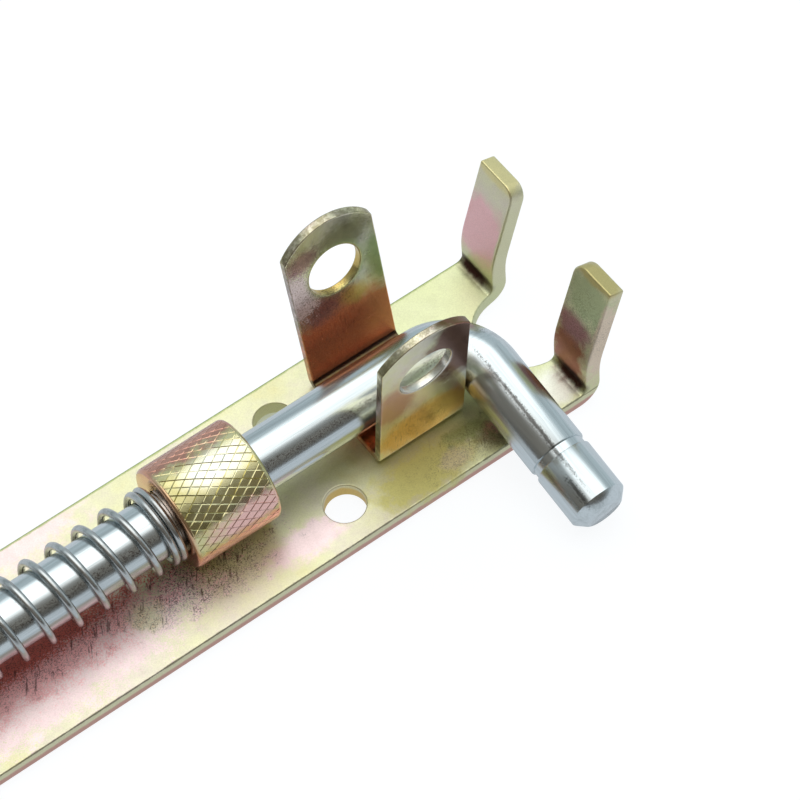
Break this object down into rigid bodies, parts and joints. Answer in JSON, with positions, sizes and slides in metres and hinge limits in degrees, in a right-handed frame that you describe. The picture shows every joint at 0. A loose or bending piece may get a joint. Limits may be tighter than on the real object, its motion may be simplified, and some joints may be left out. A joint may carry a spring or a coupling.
{
  "type": "padlockable spring bolt",
  "caption": "Sprung round bolt with an L-shaped handle in knurled guide bushes on a forked, screw-fixed back plate, with a folded eared bracket that takes a padlock.",
  "frame": {"origin": "back face of the plate, in the middle of the rectangle of screw holes", "axes": "+X along the bolt towards the handle, +Y across the plate, +Z out of the mounting surface"},
  "size_m": [0.3281, 0.0875, 0.0589],
  "materials": {
    "yellow_zinc": "yellow-passivated zinc on steel, faintly iridescent",
    "bright_zinc": "bright blue-white zinc on drawn steel bar",
    "spring_wire": "bright drawn spring wire"
  },
  "bodies": {
    "frame": {"back_plate": "yellow_zinc", "padlock_bracket": "yellow_zinc", "front_bush": "yellow_zinc", "rear_bush": "yellow_zinc"},
    "slider": {"spring_washer": "bright_zinc", "compression_spring": "spring_wire"},
    "bolt": {"bolt_rod": "bright_zinc", "stop_pin": "bright_zinc"}
  },
  "joints": [
    {"name": "bolt_slide", "type": "slide", "parent": "frame", "child": "slider", "axis": [1, 0, 0], "range_m": [0, 0.0111], "stiffness_N_per_m": 1700, "springref_m": -0.06, "deforming": ["compression_spring"]},
    {"name": "handle_turn", "type": "hinge", "parent": "slider", "child": "bolt", "pos_m": [0, 0, 0.0186], "axis": [-1, 0, 0], "range_deg": [0, 200.9]}
  ]
}
